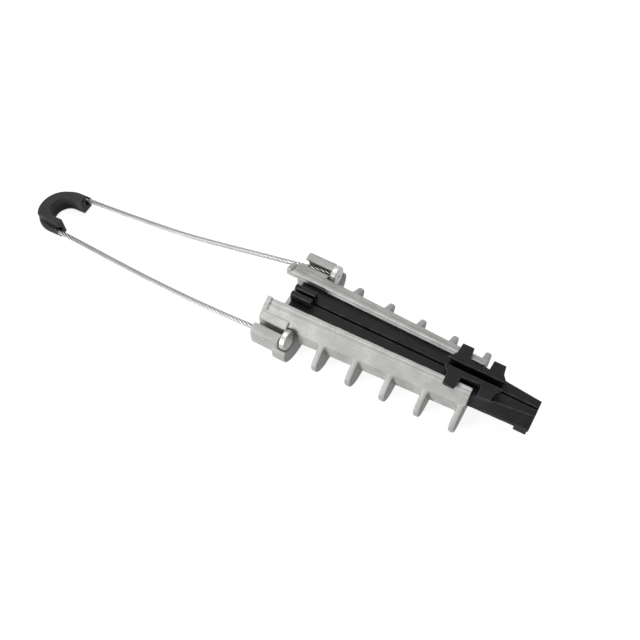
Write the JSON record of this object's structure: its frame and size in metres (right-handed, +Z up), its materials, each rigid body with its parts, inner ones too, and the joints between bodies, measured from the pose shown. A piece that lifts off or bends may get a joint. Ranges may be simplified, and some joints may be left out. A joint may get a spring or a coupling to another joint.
{
  "type": "wedge dead end clamp",
  "caption": "Wedge-type dead end clamp: tapered aluminium trough, sliding plastic wedge halves and a wire rope bail with a saddle.",
  "frame": {"origin": "on the ground under the centre of the casting and wedges, the bail left out", "axes": "+X along the clamp from the bail's end to the end the conductor leaves, +Z up, +Y to the left of +X"},
  "size_m": [0.5708, 0.1176, 0.0578],
  "materials": {
    "casting": "matt shot-blasted casting",
    "wedge": "fine matt charcoal",
    "saddle": "fine matt black",
    "rope": "bright stainless strands",
    "ferrule": "turned, bright rim"
  },
  "bodies": {
    "clamp": {"clamp_body": "casting"},
    "near_wedge": {"wedge_near": "wedge"},
    "far_wedge": {"wedge_far": "wedge"},
    "bail": {"bail_rope": "rope", "ferrule_near": "ferrule", "ferrule_far": "ferrule", "saddle": "saddle"}
  },
  "joints": [
    {"name": "near_wedge_slide", "type": "slide", "parent": "clamp", "child": "near_wedge", "axis": [-0.9993, -0.0364, 0], "range_m": [0, 0.045]},
    {"name": "far_wedge_slide", "type": "slide", "parent": "clamp", "child": "far_wedge", "axis": [-0.9993, 0.0364, 0], "range_m": [0, 0.045]},
    {"name": "bail_swing", "type": "hinge", "parent": "clamp", "child": "bail", "pos_m": [-0.09992, 0, 0.03803], "axis": [0, 1, 0], "range_deg": [0, 5]}
  ],
  "couplings": [
    {"joint": "far_wedge_slide", "follows": "near_wedge_slide", "ratio": 1}
  ]
}
